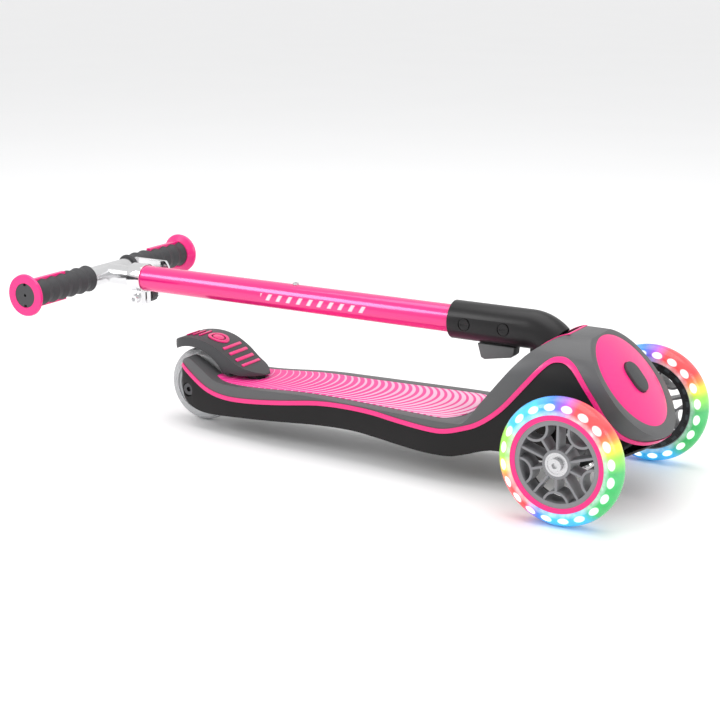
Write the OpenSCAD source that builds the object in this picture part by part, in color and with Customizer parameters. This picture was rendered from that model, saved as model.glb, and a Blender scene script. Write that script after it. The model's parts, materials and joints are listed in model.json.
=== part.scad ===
// Folding three-wheeled kick scooter for a small child, drawn folded for carrying.
// X points forward, Y to the rider's left and Z up. The origin is on the floor, below the
// middle of the folded scooter, and all sizes are in millimetres.

/* [Overall] */
// Distance between the front and the rear axle
wheel_base = 470; // [390:5:570]
// Distance between the middles of the two front wheels
track = 220; // [204:2:264]
// Distance from the front axle back to the crossbar when folded
handle_reach = 600; // [560:5:720]
// Width over the ends of the grips
grip_span = 272; // [230:2:330]

/* [Front wheels] */
// Diameter over a front tyre
front_d = 120; // [108:1:144]
// Width of a front tyre
front_w = 24; // [22:1:28]
// Thickness of a front tyre outside its rim
tyre_t = 14.5; // [12:0.5:18]
// Width of the coloured ring on the rim's face
ring_w = 4.9; // [3:0.1:6]
// Number of spoke pairs in a rim
spokes = 5; // [4:1:6]
// Wall of a wheel hub around its bearing
hub_wall = 2.6; // [2:0.2:4]

/* [Rear wheel] */
// Diameter over the rear tyre
rear_d = 80; // [72:1:86]
// Width of the rear tyre
rear_w = 22; // [20:1:24]
// Thickness of the rear tyre outside its core
rear_tyre_t = 12; // [10:0.5:14]

/* [Bearings and axles] */
// Outer diameter of a ball bearing
bearing_d = 22; // [20:0.5:24]
// Width of a ball bearing
bearing_w = 7; // [6:0.5:8]
// Diameter of an axle bolt
axle_d = 8; // [6:0.5:9]
// Play between a turning part and its shaft, on the radius
run_gap = 0.04; // [0.02:0.01:0.08]

/* [Deck] */
// Height of the foot plate at its flat part
deck_z = 61; // [56:1:68]
// Half width of the deck behind the front wheels
deck_half = 60; // [54:1:64]
// Half width of the deck at its waist
waist_half = 51; // [44:1:56]
// Wall of the deck shells
wall = 3; // [2.5:0.5:4]
// Height of the coloured trim strip
trim_w = 4.6; // [3:0.2:6]
// Thickness of the top shell's roof
top_t = 6; // [5:0.5:7]
// Thickness of the foot pad
pad_t = 3; // [2:0.5:4]
// Width of the slot for the rear wheel
slot_w = 33; // [31:1:36]

/* [Nose] */
// Lean of the kingpins from upright
nose_tilt = 30.6; // [25:0.2:36]
// Lean of the round front plate from upright
plate_tilt = 39; // [34:0.5:44]
// Half width of the nose
nose_half = 58; // [54:1:64]
// Radius of the round cap on the front plate
cap_r = 49.5; // [44:0.5:52]
// Rise of the cap's dome
cap_dome = 5; // [3:0.5:8]
// Half width of the steering lock button
button_r = 11.5; // [9:0.5:13]
// Travel of the steering lock button
lock_travel = 6; // [5:0.5:7]

/* [Steering] */
// Distance of a kingpin inboard of its wheel's middle
kingpin_inset = 42; // [38:1:46]
// Diameter of a kingpin
kingpin_d = 8; // [6:0.5:9]
// Length of the steering arms
arm_len = 20; // [18:1:24]

/* [Folding neck] */
// Outer diameter of the folding neck
neck_d = 38; // [36:0.5:42]
// Length of the neck's straight part
neck_len = 82; // [74:1:100]
// Bend of the neck down into the nose
neck_bend = 43; // [36:1:48]
// Turn of the bar from folded to upright
fold_angle = 75; // [68:1:78]
// Diameter of the fold pin
fold_pin_d = 5; // [4:0.5:6]
// Travel of the fold latch
latch_travel = 4; // [3:0.5:4]

/* [Handlebar] */
// Outer diameter of the outer tube
tube_d = 28; // [26:0.5:30]
// Wall of the outer tube
tube_wall = 1.6; // [1.2:0.1:2]
// Gap between the two tubes, filled by the bushes
slide_gap = 1.3; // [0.8:0.1:2]
// Wall of the inner tube and the crossbar
inner_wall = 1.5; // [1.2:0.1:2]
// Height range of the handlebar
lift = 100; // [60:5:120]
// Bare length of inner tube between the crossbar and the clamp
bare_len = 38; // [34:1:50]
// Diameter of the crossbar
cross_d = 22; // [20:0.5:24]
// Diameter of a grip
grip_d = 29; // [27:0.5:32]
// Length of a grip
grip_len = 94; // [80:1:104]
// Diameter of a grip's end flange
flange_d = 44.6; // [40:0.2:50]

/* [Rear brake] */
// Half width of the brake fender
fender_half = 24; // [20:1:26]
// Gap between the fender and the rear tyre
fender_gap = 6; // [5.5:0.5:7]
// Diameter of the brake's hinge pin
brake_pin_d = 4; // [3:0.5:5]

/* [Hidden] */
$fn = 64;
eps = 0.01;

pink = "#ee2a8f";
grey = "#5a5b5e";
black = "#222222";
silver = "#c9cbce";
clear = "#bfe6f5";
rubber = "#3c3e40";

// Places along the scooter
front_x = (handle_reach + flange_d / 2 - front_d / 2) / 2;
rear_x = front_x - wheel_base;
handle_x = front_x - handle_reach;
axle_z = front_d / 2;
rear_z = rear_d / 2;
rim_r = front_d / 2 - tyre_t;
rear_rim_r = rear_d / 2 - rear_tyre_t;
hub_r = bearing_d / 2 + hub_wall;
inner_d = tube_d - 2 * tube_wall - 2 * slide_gap;

// The fold pin, just inside the neck's underside
hinge_x = front_x - 71;
hinge_z = axle_z + 69;
bar_z = hinge_z + neck_d / 2 + 0.5;
bend_x = hinge_x - 12;
bend_r = 36;
neck_end_x = bend_x - neck_len;
tube_foot_x = hinge_x - 24;
tube_top_x = handle_x + bare_len;
collar_w = 17;
tube_bore_r = tube_d / 2 - tube_wall;

// The round front plate, measured in the nose's own leaning frame
plate_n = 49.4;
plate_t = 27.6;
plate_drop = 3;
plate_r = nose_half + 1;
kingpin_y = track / 2 - kingpin_inset;
wheel_y = track / 2;

// A smooth curve through hand-set points
function blend_at(a, b, c, d, t) =
    0.5 * (2 * b + (c - a) * t + (2 * a - 5 * b + 4 * c - d) * t * t
    + (3 * b - a - 3 * c + d) * t * t * t);
function smooth(p, n) = [
    for (i = [0 : len(p) - 2])
        for (j = [0 : n - 1])
            blend_at(p[max(i - 1, 0)], p[i], p[i + 1], p[min(i + 2, len(p) - 1)], j / n),
    p[len(p) - 1]
];
function flip(p) = [for (i = [len(p) - 1 : -1 : 0]) p[i]];
function arc(cx, cy, r, from, to, step) = [
    for (a = [from : step : to]) [cx + r * cos(a), cy + r * sin(a)]
];
function shift_up(p, d) = [for (q = p) [q[0], q[1] + d]];
function beside(p, d) = [
    for (i = [0 : len(p) - 1])
        let (a = p[max(i - 1, 0)], b = p[min(i + 1, len(p) - 1)], n = norm(b - a))
            [p[i][0] - d * (b[1] - a[1]) / n, p[i][1] + d * (b[0] - a[0]) / n]
];

// A place on the deck between the brake and the front wheels, from 0 at the back to 1
function mid(f) = rear_x + 83 + f * (wheel_base - 210);

// Side view of the deck: its top edge, the trim strip and its underside
deck_line = [
    [rear_x - 8, rear_z + 30], [rear_x + 2, rear_z + 36], [rear_x + 20, rear_z + 28],
    [rear_x + 38, deck_z - 2.5], [rear_x + 55, deck_z - 5], [rear_x + 83, deck_z - 4.5],
    [mid(0.2), deck_z - 1], [mid(0.36), deck_z], [mid(0.75), deck_z],
    [front_x - 140, deck_z], [front_x - 124, deck_z + 3]
];
nose_line = [
    [front_x - 108, axle_z + 24], [front_x - 88, axle_z + 49], [front_x - 66, axle_z + 75],
    [front_x - 50, axle_z + 87], [front_x - 38, axle_z + 92.5], [front_x - 27, axle_z + 94.4],
    [front_x - 16, axle_z + 93.6], [front_x - 8, axle_z + 91.6]
];
top_line = smooth(concat(deck_line, nose_line), 4);
trim_line = smooth([
    [rear_x - 8, rear_z + 27], [rear_x + 3, rear_z + 20], [rear_x + 27, rear_z + 7],
    [rear_x + 52, deck_z - 19], [rear_x + 83, deck_z - 18], [mid(0.185), deck_z - 12],
    [mid(0.354), deck_z - 5.5], [mid(0.48), deck_z - 3.5], [mid(0.61), deck_z - 4],
    [mid(0.727), deck_z - 7], [mid(0.858), deck_z - 9.5], [mid(0.93), deck_z - 9],
    [front_x - 127, axle_z - 3], [front_x - 108, axle_z + 5], [front_x - 86, axle_z + 22],
    [front_x - 63, axle_z + 48], [front_x - 43, axle_z + 71], [front_x - 32, axle_z + 76],
    [front_x - 21, axle_z + 74], [front_x - 9, axle_z + 64.5], [front_x + 10, axle_z + 40],
    [front_x + 28, axle_z + 14], [front_x + 43, axle_z + 2.5], [front_x + 54, axle_z + 0.5],
    [front_x + 64, axle_z + 2]
], 4);
base_line = smooth([
    [rear_x - 9, rear_z + 14], [rear_x - 9, rear_z], [rear_x - 1, rear_z - 13],
    [rear_x + 20, rear_z - 20], [rear_x + 50, deck_z - 40], [rear_x + 105, deck_z - 35],
    [mid(0.34), deck_z - 29], [mid(0.51), deck_z - 27], [mid(0.63), deck_z - 29],
    [mid(0.75), deck_z - 32], [mid(0.86), deck_z - 34], [mid(0.95), deck_z - 33.5],
    [front_x - 125, deck_z - 30], [front_x - 95, axle_z - 20], [front_x - 60, axle_z - 21],
    [front_x - 10, axle_z - 22], [front_x + 20, axle_z - 18], [front_x + 42, axle_z - 9],
    [front_x + 62, axle_z - 4]
], 4);

// Plan view: half widths of the deck and of the foot pad
deck_plan = smooth([
    [rear_x - 12, 27], [rear_x - 2, 32], [rear_x + 22, 37], [rear_x + 60, 43],
    [rear_x + 115, waist_half - 2], [mid(0.36), waist_half], [mid(0.6), waist_half + 4],
    [mid(0.8), deck_half - 1], [front_x - 150, deck_half], [front_x - 118, deck_half - 0.6],
    [front_x - 100, nose_half + 0.2], [front_x - 88, nose_half], [front_x - 80, nose_half]
], 4);
pad_plan = smooth([
    [rear_x + 36, 27], [rear_x + 52, 33], [rear_x + 78, 37], [rear_x + 115, waist_half - 11.5],
    [mid(0.36), waist_half - 13], [mid(0.6), waist_half - 9], [mid(0.8), deck_half - 14],
    [front_x - 156, deck_half - 13], [front_x - 146, deck_half - 19],
    [front_x - 139, deck_half - 32], [front_x - 136, 0]
], 4);

// Two-dimensional helpers: a half outline mirrored into a whole one
function both_sides(p) = concat(p, flip([for (q = p) [q[0], -q[1]]]));

module side_plate(width) {
    rotate([90, 0, 0])
        linear_extrude(width, center = true)
            children();
}

module along_y() {
    rotate([-90, 0, 0])
        children();
}

module along_x() {
    rotate([0, 90, 0])
        children();
}

// The steering's own frame: its Z axis is along the kingpins, its origin on the front axle
module nose_frame() {
    translate([front_x, 0, axle_z])
        rotate([0, -nose_tilt, 0])
            children();
}

// The nose's own frame: its X axis is square to the round plate
module plate_frame() {
    translate([front_x, 0, axle_z])
        rotate([0, -plate_tilt, 0])
            children();
}

// Everything inside the deck's plan and the nose's rounded front, grown by g
module width_limit(g) {
    linear_extrude(axle_z + 140)
        intersection() {
            offset(delta = g)
                polygon(both_sides(deck_plan));
            translate([rear_x - 40, -120])
                square([wheel_base - 48, 240]);
        }
    intersection() {
        translate([front_x - 88, 0, 0])
            rotate([90, 0, 90])
                linear_extrude(160)
                    offset(delta = g)
                        polygon(nose_arch);
        nose_keep(g);
    }
}

nose_arch = concat(
    [for (a = [0 : 6 : 180]) [nose_half * cos(a), axle_z + 52 + 44 * sin(a)]],
    [[-nose_half, -10], [nose_half, -10]]
);

module nose_keep(g) {
    plate_frame() {
        translate([-150, 0, plate_t - plate_drop])
            along_x()
                cylinder(r = plate_r + g, h = 150 + plate_n, $fn = 96);
        translate([-150, -100, plate_t - plate_drop])
            cube([150 + plate_n, 200, 140]);
    }
}

module deck_slot(grow) {
    reach = rear_d / 2 + 6 + grow;
    side_plate(slot_w + 2 * grow)
        polygon(concat(
            arc(rear_x, rear_z, reach, -90, 0, 10),
            [[rear_x + reach, rear_z + 100], [rear_x - 60, rear_z + 100], [rear_x - 60, rear_z - reach]]));
}

// The pocket in the nose that the neck's foot turns into
module neck_room(r, half) {
    reach = concat(arc(hinge_x, hinge_z, 7.4, 104, 298, 9.7), arc(hinge_x, hinge_z, r, -62, 104, 4));
    side_plate(2 * half)
        polygon(reach);
}

neck_room_r = neck_d + 4.8;
neck_room_half = neck_d / 2 + 0.8;
gasket_w = 1.8;

module inner_space(top_gap) {
    lower = [[front_x + 66, -30], [rear_x + 50, -30]];
    intersection() {
        side_plate(300)
            offset(delta = -top_gap)
                polygon(concat(top_line, lower));
        width_limit(-wall);
        translate([rear_x + 52, -100, -20])
            cube([wheel_base + 60, 200, 260]);
        plate_frame()
            translate([-500, -100, -200])
                cube([500 + plate_n - 6, 200, 800]);
    }
}

module brake_well(grow) {
    translate([rear_x + 59 - grow, -9.5 - grow, deck_z - 24])
        cube([19 + 2 * grow, 19 + 2 * grow, 30]);
}

brake_pin_x = rear_x + 68;
brake_pin_z = deck_z - 15;

module brake_lugs() {
    for (side = [-1, 1])
        translate([brake_pin_x, side * 16, brake_pin_z])
            intersection() {
                union() {
                    rotate([90, 0, 0])
                        cylinder(r = 5.5, h = 4, center = true);
                    translate([-5.5, -2, 0])
                        cube([11, 4, 14]);
                }
                translate([-20, -5, -20])
                    cube([40, 10, 20 + 8.2]);
            }
}

module deck_top() {
    color(grey)
        difference() {
            union() {
                difference() {
                    intersection() {
                        side_plate(300)
                            polygon(concat(top_line, [[front_x + 68, axle_z + 4]], flip(upper_trim)));
                        width_limit(0);
                    }
                    inner_space(top_t);
                }
                brake_lugs();
            }
            deck_slot(0);
            pad_space();
            brake_well(0.4);
            neck_room(neck_room_r, neck_room_half);
            lug_slot();
            along_brake_pin(brake_pin_d / 2, 60);
            cap_seat();
            screw_shafts(1.5);
        }
}

upper_trim = beside(trim_line, trim_w / 2);
lower_trim = beside(trim_line, -trim_w / 2);

module along_brake_pin(r, len) {
    translate([brake_pin_x, 0, brake_pin_z])
        rotate([90, 0, 0])
            cylinder(r = r, h = len, center = true);
}

module deck_trim() {
    color(pink)
        difference() {
            intersection() {
                side_plate(300)
                    polygon(concat(upper_trim, flip(lower_trim)));
                width_limit(0.8);
            }
            intersection() {
                width_limit(-wall);
                translate([rear_x + 30, -100, -20])
                    cube([wheel_base + 60, 200, 260]);
                plate_frame()
                    translate([-500, -100, -200])
                        cube([500 + plate_n - 6, 200, 800]);
            }
            deck_slot(0);
        }
}

module pad_space() {
    intersection() {
        side_plate(300)
            polygon(concat(shift_up(top_line, 0.6), flip(shift_up(top_line, -pad_t))));
        linear_extrude(200)
            polygon(both_sides(pad_plan));
    }
}

module deck_pad() {
    color(pink)
        difference() {
            pad_space();
            brake_well(0.4);
            deck_slot(0.4);
        }
}

wheel_arch_r = axle_z - 20;
arch_inner = 38;

module wheel_arches() {
    for (side = [-1, 1])
        translate([front_x, side * (arch_inner + 50), axle_z])
            rotate([90, 0, 0])
                cylinder(r = wheel_arch_r, h = 100, center = true, $fn = 96);
}

module lower_hollow() {
    intersection() {
        side_plate(300)
            offset(delta = -wall)
                polygon(concat(
                    [[rear_x + 30, deck_z + 120]], base_line, [[front_x + 66, deck_z + 120]]));
        width_limit(-wall);
        translate([rear_x + 52, -100, -20])
            cube([wheel_base - 52 - wheel_arch_r - 6, 200, 260]);
    }
    intersection() {
        side_plate(2 * (arch_inner - wall))
            offset(delta = -wall)
                polygon(concat(
                    [[rear_x + 30, deck_z + 120]], base_line, [[front_x + 66, deck_z + 120]]));
        translate([front_x - wheel_arch_r - 20, -100, -20])
            cube([wheel_arch_r + 70, 200, 260]);
        plate_frame()
            translate([-500, -100, -200])
                cube([500 + plate_n - 6, 200, 800]);
    }
}

beam_x = 9;
beam_z = 15;
knuckle_r = 9;
knuckle_h = 9;

module beam_block() {
    nose_frame() {
        translate([-beam_x, -kingpin_y, -beam_z])
            cube([2 * beam_x, 2 * kingpin_y, 2 * beam_z]);
        for (side = [-1, 1])
            translate([0, side * kingpin_y, -beam_z])
                cylinder(r = beam_x, h = 2 * beam_z);
    }
}

// Room for the tie rod and its upright tab to move sideways
module tie_room() {
    nose_frame() {
        translate([arm_len - 8, -80, -6])
            cube([16, 160, 13]);
        translate([arm_len - 5, -20, 0])
            cube([10, 40, plate_t + 14]);
    }
}

module deck_bottom() {
    color(black)
        difference() {
            union() {
                difference() {
                    intersection() {
                        side_plate(300)
                            polygon(concat(lower_trim, flip(base_line)));
                        width_limit(0);
                    }
                    lower_hollow();
                    wheel_arches();
                    deck_slot(0);
                }
                rear_bosses();
                screw_posts();
            }
            beam_block();
            tie_room();
            rear_bolt_room();
            neck_room(neck_room_r, neck_room_half);
            screw_shafts(1.5);
        }
}

module rear_bosses() {
    for (side = [-1, 1])
        translate([rear_x, side * (slot_w / 2 - 1), rear_z])
            rotate([90, 0, 0])
                cylinder(r = 7, h = slot_w - 2 * (rear_hub + 0.4) - 2, center = true);
}

rear_hub = 12;

module rear_bolt_room() {
    translate([rear_x, 0, rear_z])
        rotate([90, 0, 0]) {
            cylinder(d = axle_d, h = 100, center = true);
            for (side = [-1, 1])
                translate([0, 0, side * (rear_hub + 14 + 15)])
                    cylinder(r = 7.6, h = 30, center = true);
        }
}

// Places of the screws that hold the two deck shells together
screw_spots = [
    for (f = [0.2, 0.45, 0.7, 0.95])
        for (side = [-1, 1])
            [mid(f), side * (waist_half - 20)]
];

module screw_posts() {
    intersection() {
        for (p = screw_spots)
            translate([p[0], p[1], deck_z - 44])
                cylinder(r = 5, h = 44 - 6.2);
        side_plate(200)
            polygon(concat(shift_up(top_line, -top_t - 0.2), flip(base_line)));
    }
}

module screw_shafts(r) {
    for (p = screw_spots)
        translate([p[0], p[1], 0]) {
            translate([0, 0, deck_z - 44])
                cylinder(r = r, h = 44 - 4.4);
            translate([0, 0, deck_z - 44])
                cylinder(r = 3.2, h = 22);
        }
}

module deck_screws() {
    color(silver)
        for (p = screw_spots)
            translate([p[0], p[1], 0])
                difference() {
                    union() {
                        translate([0, 0, deck_z - 23])
                            cylinder(r = 1.5, h = 18.5);
                        translate([0, 0, deck_z - 24])
                            cylinder(r = 3, h = 2);
                    }
                    translate([0, 0, deck_z - 23.4])
                        cube([4, 0.8, 2], center = true);
                    translate([0, 0, deck_z - 23.4])
                        cube([0.8, 4, 2], center = true);
                }
}

module cap_seat() {
    plate_frame()
        translate([plate_n - 3, 0, plate_t])
            along_x()
                cylinder(r = cap_r, h = 30, $fn = 96);
    plate_frame()
        button_slot(0.6, plate_n - 20, 60);
}

module button_shape(grow) {
    for (side = [-1, 1])
        translate([side * 4.5, 0])
            circle(r = button_r + grow);
    square([9, 2 * (button_r + grow)], center = true);
}

// The button's long axis follows the slope of the plate
module button_slot(grow, from, len) {
    translate([from, 0, plate_t])
        along_x()
            linear_extrude(len)
                button_shape(grow);
}

module nose_cap() {
    dome_r = (cap_r * cap_r + cap_dome * cap_dome) / (2 * cap_dome);
    profile = [
        for (i = [0 : 10])
            [cap_r * (1 - i / 10), sqrt(dome_r * dome_r - pow(cap_r * (1 - i / 10), 2)) - dome_r + cap_dome]
    ];
    color(pink)
        plate_frame()
            difference() {
                translate([plate_n, 0, plate_t])
                    along_x()
                        rotate_extrude($fn = 96)
                            polygon(concat([[0, -3], [cap_r, -3]], profile));
                button_slot(0.6, plate_n - 20, 60);
            }
}

// A pressed button slides along the plate's own axis and brings its pin up to the rod's tab
pin_tip = arm_len + lock_travel + 8;

module lock_button() {
    color(rubber)
        plate_frame() {
            button_slot(0, plate_n - 4, 4 + cap_dome + 2.5);
            translate([pin_tip, 0, plate_t])
                along_x()
                    cylinder(r = 3, h = plate_n - 4 - pin_tip);
        }
}

module neck_gasket() {
    color(pink)
        difference() {
            intersection() {
                neck_room(neck_room_r + gasket_w, neck_room_half + gasket_w);
                side_plate(300)
                    offset(delta = 0.9)
                        polygon(concat(top_line, [[front_x + 60, 0], [rear_x, 0]]));
                width_limit(0.9);
            }
            side_plate(300)
                offset(delta = eps)
                    polygon(concat(top_line, [[front_x + 60, 0], [rear_x, 0]]));
            neck_room(neck_room_r, neck_room_half);
            translate([hinge_x - 60, -60, hinge_z - 60])
                cube([60 + 4, 120, 60]);
        }
}

module axle_beam() {
    color(black)
        difference() {
            beam_block();
            nose_frame()
                for (side = [-1, 1]) {
                    translate([-20, side > 0 ? kingpin_y - 14 : -kingpin_y - 26, -knuckle_h - 0.3])
                        cube([40, 40, 2 * knuckle_h + 0.6]);
                    translate([0, side * kingpin_y, -30])
                        cylinder(d = kingpin_d, h = 60);
                }
        }
}

module kingpins() {
    color(silver)
        nose_frame()
            for (side = [-1, 1])
                translate([0, side * kingpin_y, -beam_z])
                    difference() {
                        union() {
                            cylinder(d = kingpin_d, h = 2 * beam_z);
                            translate([0, 0, 2 * beam_z])
                                cylinder(d = kingpin_d + 4, h = 3);
                            translate([0, 0, -2])
                                cylinder(d = kingpin_d + 4, h = 2);
                        }
                        translate([0, 0, 2 * beam_z + 1])
                            cylinder(d = 5, h = 5, $fn = 6);
                    }
}

cam_r = 10;
lug_half = 6;
latch_z = 3.6;
latch_h = 2.4;

module latch_notch(angle) {
    translate([hinge_x, 0, hinge_z])
        rotate([0, angle, 0])
            translate([-cam_r - 3, -10, latch_z - latch_h / 2 - 0.3])
                cube([7.5, 20, latch_h + 0.6]);
}

// The cut in the nose that the lug stands in
module lug_slot() {
    side_plate(2 * lug_half + 0.4)
        polygon(concat(
            arc(hinge_x, hinge_z, cam_r + 0.3, -90, 200, 10),
            [[hinge_x - 16, hinge_z - 28], [hinge_x + 4, hinge_z - 28]]));
}

// The steel lug that the neck turns on, with a notch for each end of the fold
module hinge_bracket() {
    color(black)
        difference() {
            union() {
                translate([hinge_x, 0, hinge_z])
                    rotate([90, 0, 0])
                        cylinder(r = cam_r, h = 2 * lug_half, center = true);
                side_plate(2 * lug_half)
                    polygon([
                        [hinge_x - 4, hinge_z], [hinge_x + 5, hinge_z - 8],
                        [hinge_x - 2, hinge_z - 22], [hinge_x - 12, hinge_z - 22]
                    ]);
                intersection() {
                    side_plate(36)
                        polygon(concat(
                            shift_up(nose_back, -10), flip(shift_up(nose_back, -15))));
                    translate([hinge_x - 60, -40, hinge_z - 34])
                        cube([58, 80, 24]);
                }
            }
            fold_bore(fold_pin_d / 2);
            latch_notch(0);
            latch_notch(fold_angle);
            translate([hinge_x - 30, -40, hinge_z - 12])
                rotate([0, 38, 0])
                    translate([-30, 0, 0])
                        cube([30, 80, 30]);
        }
}

nose_back = [
    [front_x - 108, axle_z + 24], [front_x - 88, axle_z + 49], [front_x - 66, axle_z + 76]
];

module fold_bore(r) {
    translate([hinge_x, 0, hinge_z])
        rotate([90, 0, 0])
            cylinder(r = r, h = 80, center = true);
}

cheek_half = 12;

module fold_pin() {
    color(silver)
        translate([hinge_x, 0, hinge_z])
            rotate([90, 0, 0])
                cylinder(r = fold_pin_d / 2, h = 2 * cheek_half, center = true);
}

module neck_skin() {
    translate([neck_end_x, 0, bar_z])
        along_x()
            cylinder(d = neck_d, h = neck_len);
    translate([bend_x, 0, bar_z - bend_r])
        rotate([90, 0, 0])
            rotate([0, 0, 90 - neck_bend])
                rotate_extrude(angle = neck_bend)
                    translate([bend_r, 0])
                        circle(d = neck_d);
}

module neck() {
    color(black)
        difference() {
            union() {
                neck_skin();
                translate([hinge_x, 0, hinge_z])
                    rotate([90, 0, 0])
                        cylinder(r = 5.2, h = 2 * cheek_half, center = true);
            }
            // Bore for the outer tube
            translate([neck_end_x - 1, 0, bar_z])
                along_x()
                    cylinder(d = tube_d, h = tube_foot_x - neck_end_x + 1);
            // Slot for the lug, open towards the nose
            side_plate(2 * lug_half + 0.6)
                polygon(concat(
                    arc(hinge_x, hinge_z, cam_r + 0.6, 80, 270, 10),
                    [[hinge_x + 60, hinge_z - 30], [hinge_x + 60, hinge_z + 18]]));
            fold_bore(fold_pin_d / 2 + run_gap);
            // Channel for the latch and slot for its trigger
            translate([neck_end_x + 20, -4.4, hinge_z + latch_z - latch_h / 2 - 0.4])
                cube([hinge_x - neck_end_x - 20, 8.8, latch_h + 1.8]);
            translate([trigger_x - 4.2, -3.4, hinge_z - 10])
                cube([trigger_len - 6, 6.8, 20]);
            // Holes for the tube bolts
            for (x = bolt_spots)
                translate([x, 0, bar_z])
                    rotate([90, 0, 0]) {
                        cylinder(d = 5, h = neck_d + 10, center = true);
                        for (side = [-1, 1])
                            translate([0, 0, side * (neck_d / 2 + 3.6)])
                                cylinder(d = 13, h = 10, center = true);
                    }
        }
}

bolt_spots = [neck_end_x + 19, neck_end_x + 61];

module neck_bolts() {
    color(rubber)
        for (x = bolt_spots)
            translate([x, 0, bar_z])
                rotate([90, 0, 0])
                    difference() {
                        union() {
                            cylinder(d = 5, h = neck_d - 2.8, center = true);
                            for (side = [-1, 1])
                                translate([0, 0, side * (neck_d / 2 - 0.7)])
                                    cylinder(d = 11, h = 1.4, center = true);
                        }
                        for (side = [-1, 1])
                            translate([0, 0, side * (neck_d / 2)])
                                cube([8, 1.6, 1.2], center = true);
                    }
}

trigger_x = neck_end_x + 28;
trigger_len = 40;

// The grey finger pad under the neck, and the steel strip that it pushes
module release_trigger() {
    z_top = hinge_z + 0.1;
    color(grey) {
        side_plate(14)
            polygon([
                [trigger_x, z_top], [trigger_x + trigger_len, z_top],
                [trigger_x + trigger_len - 1, z_top - 8],
                [trigger_x + trigger_len - 4, z_top - 10.5],
                [trigger_x + 8, z_top - 15.5], [trigger_x + 4, z_top - 14]
            ]);
        translate([trigger_x + 2, -3, z_top - 0.1])
            cube([trigger_len - 18, 6, 2.3]);
    }
}

module latch_bolt() {
    tip = hinge_x - cam_r - 0.6;
    color(silver)
        translate([trigger_x - 2, -4, hinge_z + latch_z - latch_h / 2])
            cube([tip - trigger_x + 2, 8, latch_h]);
}

module outer_tube() {
    color(pink)
        difference() {
            translate([tube_top_x, 0, bar_z])
                along_x()
                    cylinder(d = tube_d, h = tube_foot_x - tube_top_x);
            translate([tube_top_x - 1, 0, bar_z])
                along_x()
                    cylinder(r = tube_bore_r, h = tube_foot_x - tube_top_x + 2);
            for (x = bolt_spots)
                translate([x, 0, bar_z])
                    rotate([90, 0, 0])
                        cylinder(d = 5, h = tube_d + 10, center = true);
            translate([guide_x, 0, bar_z])
                cylinder(d = 4, h = 40);
            // Clamping slit
            translate([tube_top_x - 1, -1, bar_z - 20])
                cube([collar_w + 8, 2, 20]);
        }
}

guide_x = handle_x + 249;

module guide_screw() {
    color(silver)
        translate([guide_x, 0, bar_z])
            difference() {
                union() {
                    translate([0, 0, inner_d / 2 - 1.2])
                        cylinder(d = 4, h = tube_d / 2 - inner_d / 2 + 1.2);
                    intersection() {
                        translate([0, 0, tube_d / 2])
                            cylinder(d = 6.5, h = 1.8);
                    }
                }
                translate([0, 0, tube_d / 2 + 0.8])
                    cylinder(d = 2.5, h = 4, $fn = 6);
            }
}

bush_len = 32;

module tube_bush() {
    color("#e8e8e6")
        translate([tube_top_x, 0, bar_z])
            along_x()
                difference() {
                    cylinder(r = tube_bore_r, h = bush_len);
                    translate([0, 0, -1])
                        cylinder(r = inner_d / 2 + run_gap, h = bush_len + 2);
                }
}

inner_end_x = guide_x + lift + 20;

module inner_tube() {
    color(silver)
        difference() {
            translate([handle_x, 0, bar_z])
                along_x()
                    cylinder(d = inner_d, h = inner_end_x - handle_x);
            translate([handle_x - 1, 0, bar_z])
                along_x()
                    cylinder(r = inner_d / 2 - inner_wall, h = inner_end_x - handle_x + 2);
            translate([handle_x, 0, bar_z])
                rotate([90, 0, 0])
                    cylinder(d = cross_d, h = 60, center = true);
            translate([guide_x - 2.4, -2.4, bar_z])
                cube([lift + 4.8, 4.8, 20]);
        }
}

module slide_bush() {
    color("#e8e8e6")
        translate([inner_end_x - 14, 0, bar_z])
            along_x()
                difference() {
                    cylinder(r = tube_bore_r - run_gap, h = 14);
                    translate([0, 0, -1])
                        cylinder(d = inner_d, h = 16);
                }
}

module crossbar() {
    half = grip_span / 2 - 5;
    color(silver)
        difference() {
            translate([handle_x, 0, bar_z])
                rotate([90, 0, 0])
                    difference() {
                        cylinder(d = cross_d, h = 2 * half, center = true);
                        cylinder(d = cross_d - 2 * inner_wall, h = 2 * half + 2, center = true);
                    }
        }
}

flange_t = 8;
grip_end = grip_span / 2;
grip_start = grip_end - flange_t - grip_len;

// A grip is a sleeve with shallow waves, drawn for the left hand
module grip_at(side) {
    translate([handle_x, 0, bar_z])
        mirror([0, side < 0 ? 1 : 0, 0])
            along_y()
                children();
}

module grip(side) {
    turns = 6;
    steps = 24;
    wave = [
        for (i = [0 : steps])
            [grip_d / 2 - 0.9 + 0.9 * cos(360 * turns * i / steps),
                grip_start + 2 + (grip_len - 2.2) * i / steps]
    ];
    color(rubber)
        grip_at(side)
            difference() {
                rotate_extrude()
                    polygon(concat(
                        [[cross_d / 2, grip_start], [grip_d / 2 - 1.5, grip_start]],
                        wave,
                        [[cross_d / 2, grip_end - flange_t - 0.2]]));
                for (turn = [0, 180])
                    rotate([0, 0, turn])
                        strip_block(0);
            }
}

// The coloured strips lie in the top and the bottom of a grip
module strip_block(grow) {
    translate([-2.6, -grip_d / 2 - 2, grip_end - flange_t - 54])
        cube([5.2, 5, 55]);
}

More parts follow.
